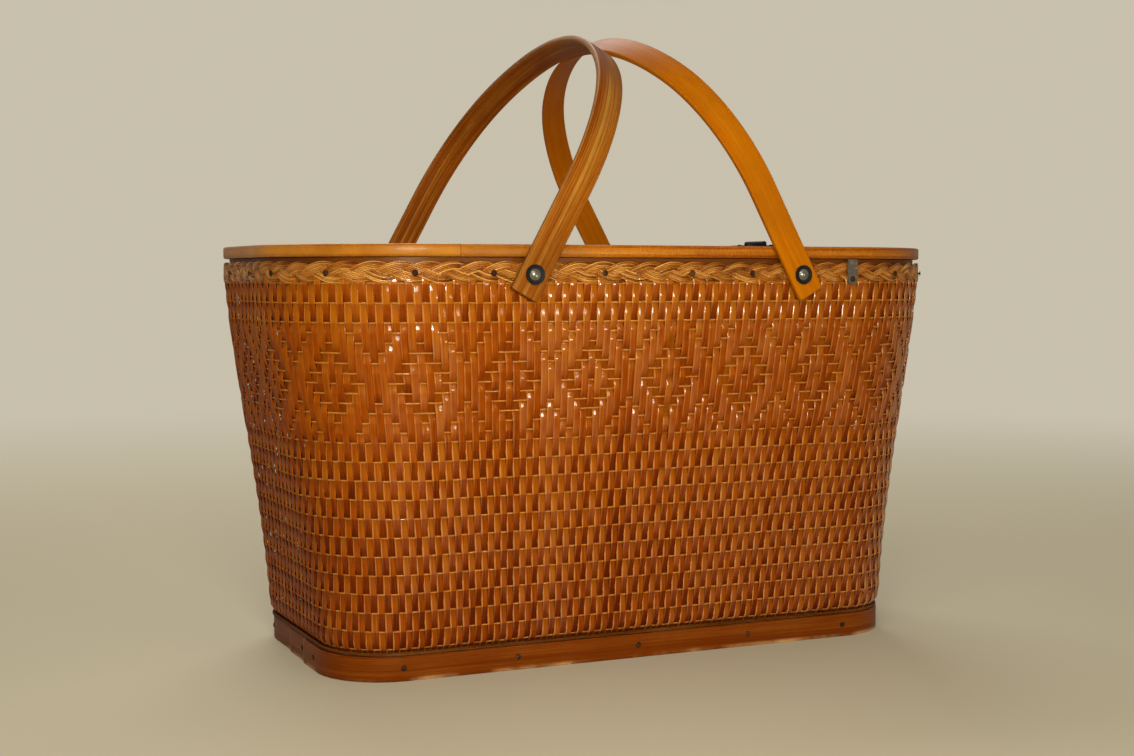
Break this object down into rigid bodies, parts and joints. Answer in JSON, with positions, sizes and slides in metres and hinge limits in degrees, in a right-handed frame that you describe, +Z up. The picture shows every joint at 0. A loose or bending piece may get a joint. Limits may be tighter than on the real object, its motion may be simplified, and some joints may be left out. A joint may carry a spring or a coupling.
{
  "type": "picnic basket",
  "caption": "Oblong picnic basket: woven splint wall on a bentwood base band, braided rim, flat hinged lid and paired bentwood bow handles that fold down outwards.",
  "frame": {"origin": "centre of the footprint on the floor, at the underside of the base band", "axes": "+X along the length towards the fixed end of the lid, -Y towards the front, +Z up"},
  "size_m": [0.4934, 0.2958, 0.4235],
  "materials": {
    "woven_splint": "glossy lacquered split-wood weave",
    "braided_fibre": "lacquered plaited fibre",
    "band_wood": "satin red-brown bent wood",
    "lid_band_wood": "glossy bent wood",
    "board_wood": "satin lacquered board",
    "hoop_wood": "lacquered bent wood",
    "bow_wood_brown": "glossy brown bent wood with open grain",
    "bow_wood_orange": "glossy orange bent wood",
    "bright_steel": "domed, lightly tarnished",
    "grey_steel": "dull strip",
    "dark_steel": "dark, oil blackened"
  },
  "bodies": {
    "basket": {"bottom_board": "board_wood", "base_band": "band_wood", "base_nails": "dark_steel", "woven_wall": "woven_splint", "inner_hoop": "hoop_wood", "braid_trim": "braided_fibre", "rim_nails": "dark_steel", "bracket_front": "grey_steel", "bracket_rear": "grey_steel", "bracket_nails": "dark_steel", "end_board": "board_wood", "end_band": "lid_band_wood", "end_leaf_nails": "dark_steel", "front_hinge_fixed": "dark_steel", "rear_hinge_fixed": "dark_steel", "front_hinge_pin": "dark_steel", "rear_hinge_pin": "dark_steel", "pivot_rivets": "bright_steel", "rivet_burrs": "bright_steel"},
    "lid": {"lid_board": "board_wood", "lid_band": "lid_band_wood", "lid_leaf_nails": "dark_steel", "front_hinge_moving": "dark_steel", "rear_hinge_moving": "dark_steel"},
    "left_handle": {"left_bow": "bow_wood_brown", "left_washers": "dark_steel"},
    "right_handle": {"right_bow": "bow_wood_orange", "right_washers": "dark_steel"}
  },
  "joints": [
    {"name": "lid_hinge", "type": "hinge", "parent": "basket", "child": "lid", "pos_m": [0.082, 0, 0.2771], "axis": [0, 1, 0], "range_deg": [0, 20]},
    {"name": "left_handle_pivot", "type": "hinge", "parent": "basket", "child": "left_handle", "pos_m": [-0.0968, 0, 0.2562], "axis": [0, -1, 0], "range_deg": [0, 154]},
    {"name": "right_handle_pivot", "type": "hinge", "parent": "basket", "child": "right_handle", "pos_m": [0.0968, 0, 0.2562], "axis": [0, 1, 0], "range_deg": [0, 154]}
  ]
}
